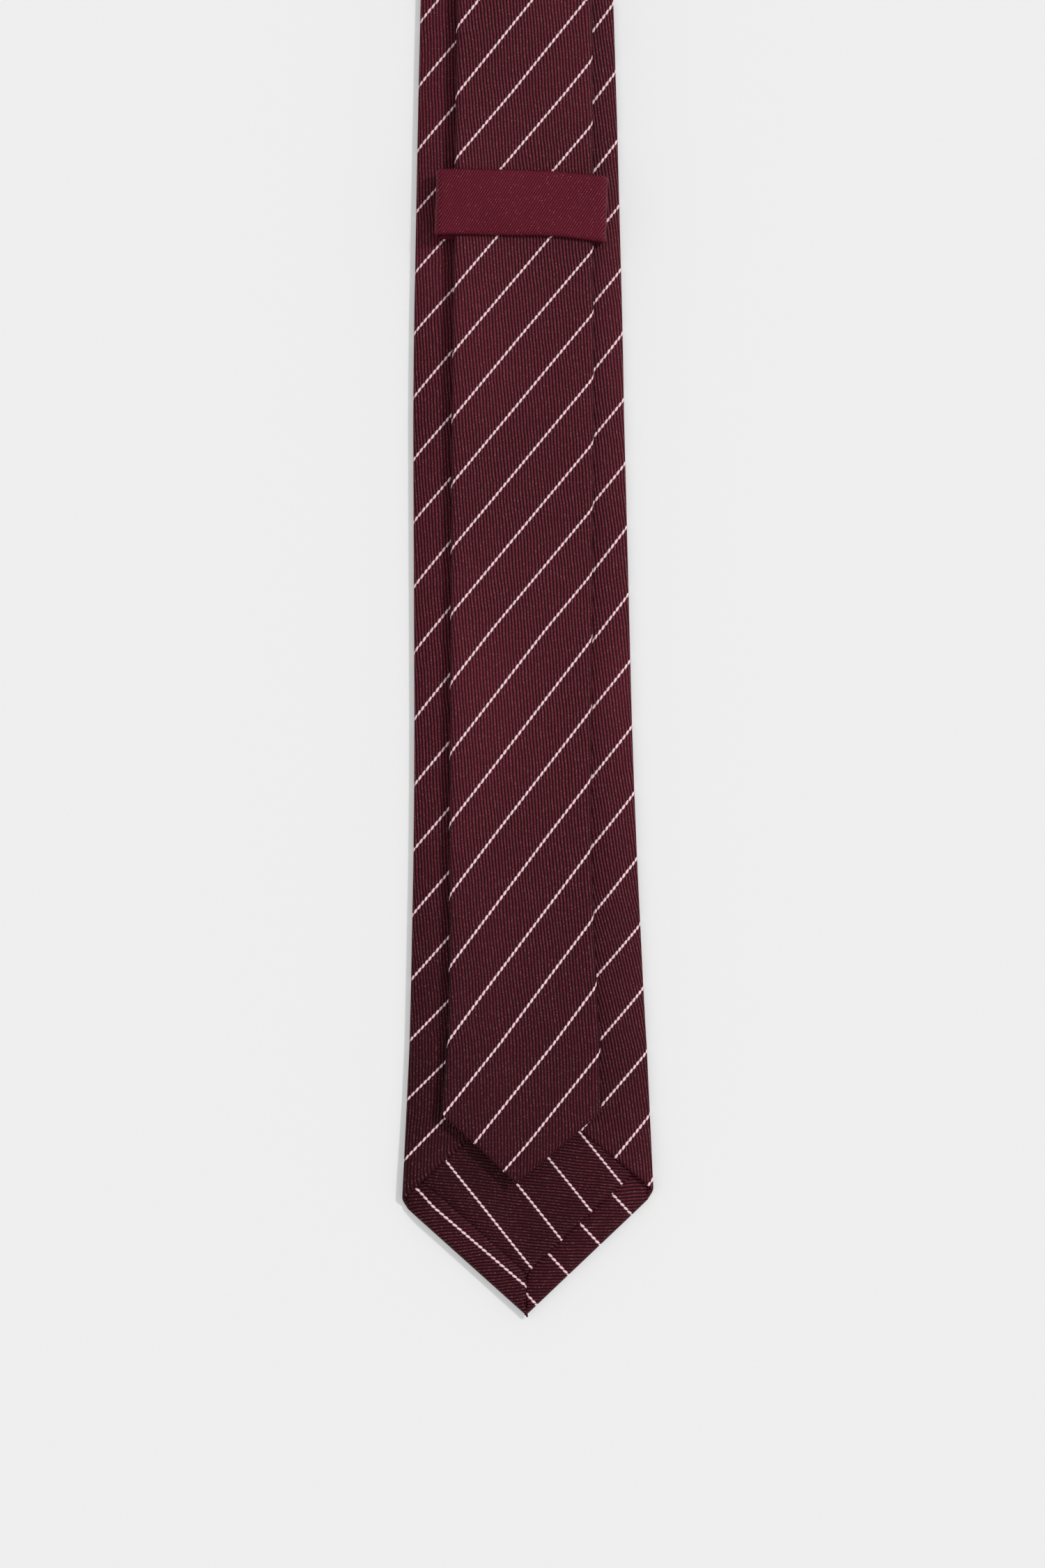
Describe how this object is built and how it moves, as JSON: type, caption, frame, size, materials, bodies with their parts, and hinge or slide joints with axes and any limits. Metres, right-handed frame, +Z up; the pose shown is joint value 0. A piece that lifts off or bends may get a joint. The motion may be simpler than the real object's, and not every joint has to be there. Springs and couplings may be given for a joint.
{
  "type": "necktie",
  "caption": "Slim striped silk necktie, lying face down and folded once at the neck, with its tail tucked through a cloth keeper loop.",
  "frame": {"origin": "on the table under the middle of the folded tie's box", "axes": "+Y along the tie towards the neck fold, +X across it, +Z up off the table through its layers"},
  "size_m": [0.06, 0.746, 0.014],
  "materials": {
    "striped_silk": "woven twill",
    "tipping_silk": "woven twill",
    "keeper_silk": "fine twill",
    "wool": "brushed wool",
    "sewing_thread": "twisted silk thread"
  },
  "bodies": {
    "blade": {"blade_envelope": "striped_silk", "blade_interlining": "wool", "blade_tipping": "tipping_silk", "blade_tipping_stitches": "sewing_thread", "blade_bar_tack": "sewing_thread", "blade_slip_thread": "sewing_thread", "keeper_loop": "keeper_silk", "keeper_tacks": "sewing_thread", "front_neck_seam_thread": "sewing_thread", "neck_envelope": "striped_silk", "neck_interlining": "wool", "neck_slip_thread": "sewing_thread"},
    "tail": {"tail_envelope": "striped_silk", "tail_interlining": "wool", "tail_slip_thread": "sewing_thread", "tail_neck_seam_thread": "sewing_thread"},
    "tail_end": {"tail_end_envelope": "striped_silk", "tail_end_interlining": "wool", "tail_end_slip_thread": "sewing_thread", "tail_tipping": "tipping_silk", "tail_tipping_stitches": "sewing_thread", "tail_bar_tack": "sewing_thread"}
  },
  "joints": [
    {"name": "tail_slide", "type": "slide", "parent": "blade", "child": "tail", "axis": [0, 1, 0], "range_m": [-0.03, 0.01], "deforming": ["neck_envelope", "neck_interlining", "neck_slip_thread"]},
    {"name": "tail_end_lift", "type": "hinge", "parent": "tail", "child": "tail_end", "pos_m": [0, -0.1388, 0.00715], "axis": [-1, 0, 0], "range_deg": [0, 75]}
  ]
}
